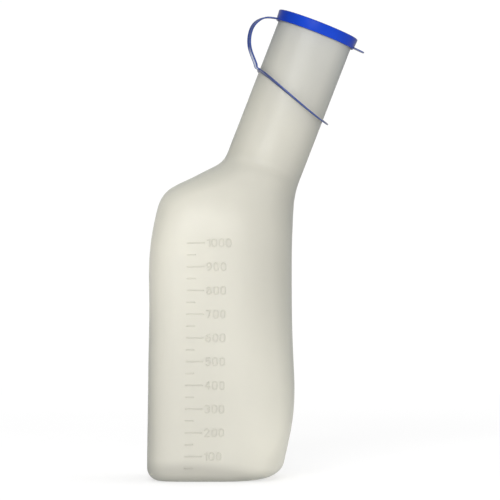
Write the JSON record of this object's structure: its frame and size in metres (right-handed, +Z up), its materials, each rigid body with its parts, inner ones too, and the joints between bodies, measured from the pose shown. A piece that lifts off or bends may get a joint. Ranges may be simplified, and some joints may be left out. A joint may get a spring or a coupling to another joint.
{
  "type": "urine bottle",
  "caption": "Translucent upright urine bottle with a bent round neck, a raised volume scale and a blue press-on lid tethered by a strap to a loose neck ring.",
  "frame": {"origin": "centre of the flat base, on the plane the bottle stands on", "axes": "+Z up; +X towards the side that the neck leans to; -Y towards the side with the volume scale"},
  "size_m": [0.1349, 0.0872, 0.2919],
  "materials": {
    "frosted_polypropylene": "frosted, translucent, natural polypropylene",
    "blue_polyethylene": "satin royal blue low-density polyethylene"
  },
  "bodies": {
    "bottle": {"bottle": "frosted_polypropylene"},
    "neck_ring": {"neck_ring": "blue_polyethylene"},
    "strap_lower": {"strap_lower": "blue_polyethylene"},
    "strap_middle": {"strap_middle": "blue_polyethylene"},
    "strap_upper": {"strap_upper": "blue_polyethylene"},
    "lid": {"lid": "blue_polyethylene"}
  },
  "joints": [
    {"name": "ring_turn", "type": "hinge", "parent": "bottle", "child": "neck_ring", "pos_m": [0.061, 0, 0.2814], "axis": [0.3616, 0, 0.9323], "continuous": true},
    {"name": "strap_root_bend", "type": "hinge", "parent": "neck_ring", "child": "strap_lower", "pos_m": [0.02268, 0, 0.25552], "axis": [0, -1, 0], "range_deg": [0, 18]},
    {"name": "strap_loop_bend", "type": "hinge", "parent": "strap_lower", "child": "strap_middle", "pos_m": [0.01853, 0, 0.2758], "axis": [0, -1, 0], "range_deg": [0, 27]},
    {"name": "strap_crown_bend", "type": "hinge", "parent": "strap_middle", "child": "strap_upper", "pos_m": [0.02381, 0, 0.28514], "axis": [0, -1, 0], "range_deg": [0, 27]},
    {"name": "lid_open", "type": "hinge", "parent": "strap_upper", "child": "lid", "pos_m": [0.03371, 0, 0.28675], "axis": [0, -1, 0], "range_deg": [0, 108]}
  ],
  "couplings": [
    {"joint": "strap_root_bend", "follows": "lid_open", "ratio": 0.16667},
    {"joint": "strap_loop_bend", "follows": "lid_open", "ratio": 0.25},
    {"joint": "strap_crown_bend", "follows": "lid_open", "ratio": 0.25}
  ]
}
